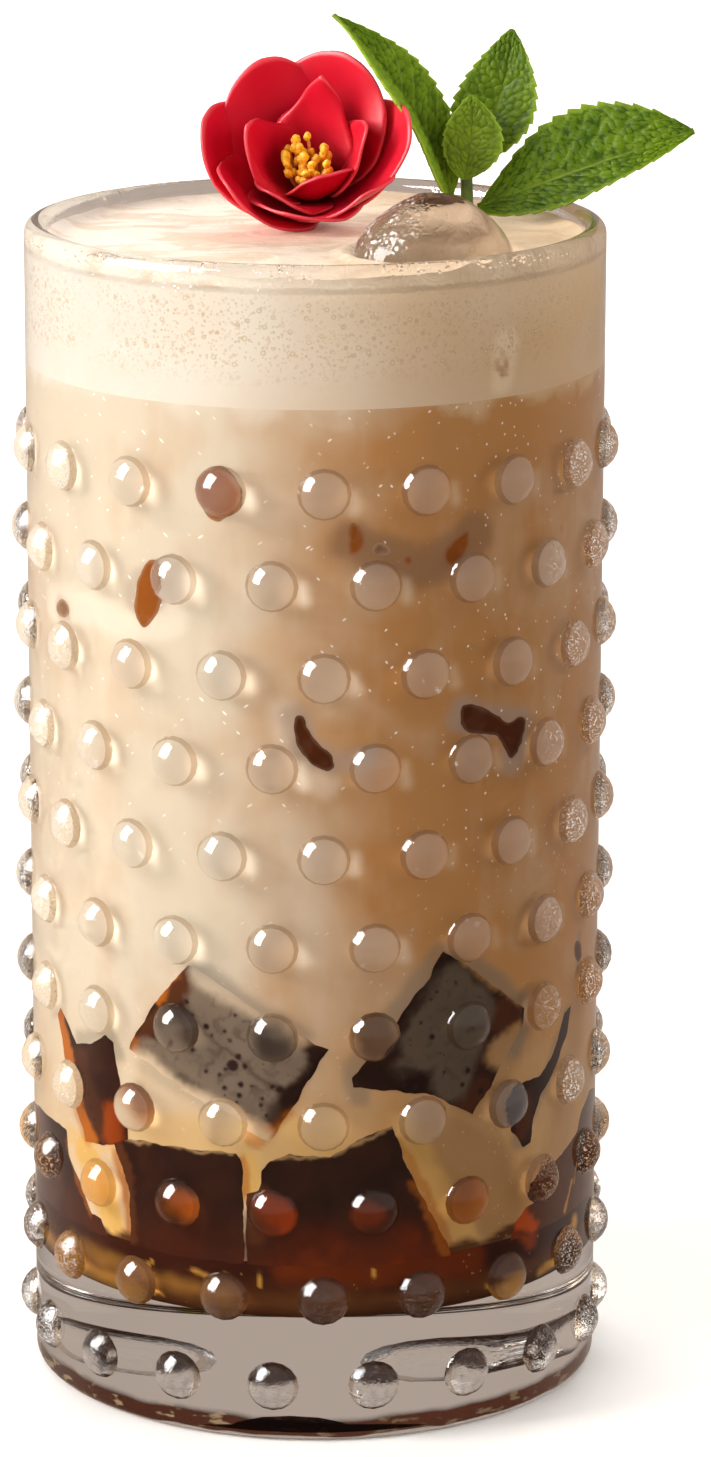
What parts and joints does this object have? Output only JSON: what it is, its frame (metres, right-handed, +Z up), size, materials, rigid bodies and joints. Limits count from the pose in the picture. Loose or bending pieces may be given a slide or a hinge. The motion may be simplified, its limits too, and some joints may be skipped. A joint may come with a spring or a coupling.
{
  "type": "iced chai latte",
  "caption": "Tall hobnail tumbler of iced milky chai over dark jelly cubes, with foam, an ice cube, a red camellia and a mint sprig.",
  "frame": {"origin": "centre of the glass's flat underside, on the table", "axes": "+Z up along the glass; -Y is the front, where the camellia faces; +X is the side that the long mint leaf points to"},
  "size_m": [0.0857, 0.076, 0.1708],
  "materials": {
    "clear_glass": "clear polished pressed glass with slight condensation near the rim",
    "milk_foam": "fine cream foam with small bubbles",
    "chai_latte": "milky tan liquid behind glass",
    "brown_syrup": "dark amber syrup",
    "dark_jelly": "dark brown translucent jelly",
    "ice": "clear wet ice",
    "red_petal": "soft satin petal",
    "yellow_anther": "powdery yellow anthers on peach filaments",
    "mint_green": "veined, bubbly fresh leaf",
    "mint_stalk": "smooth dark stalk"
  },
  "bodies": {
    "root": {"flower_petals": "red_petal", "flower_stamens": "yellow_anther", "foam": "milk_foam", "glass": "clear_glass", "ice_cube": "ice", "jelly_back_left": "dark_jelly", "jelly_back_right": "dark_jelly", "jelly_far_left": "dark_jelly", "jelly_front": "dark_jelly", "jelly_front_left": "dark_jelly", "jelly_left_back": "dark_jelly", "jelly_right": "dark_jelly", "jelly_right_back": "dark_jelly", "jelly_upper_back": "dark_jelly", "jelly_upper_front_left": "dark_jelly", "jelly_upper_front_right": "dark_jelly", "jelly_upper_left": "dark_jelly", "jelly_upper_left_back": "dark_jelly", "jelly_upper_right": "dark_jelly", "jelly_upper_right_back": "dark_jelly", "latte": "chai_latte", "mint_leaf_left": "mint_green", "mint_leaf_right": "mint_green", "mint_leaf_upright": "mint_green", "mint_leaf_young": "mint_green", "mint_stem": "mint_stalk", "syrup": "brown_syrup"}
  },
  "joints": []
}
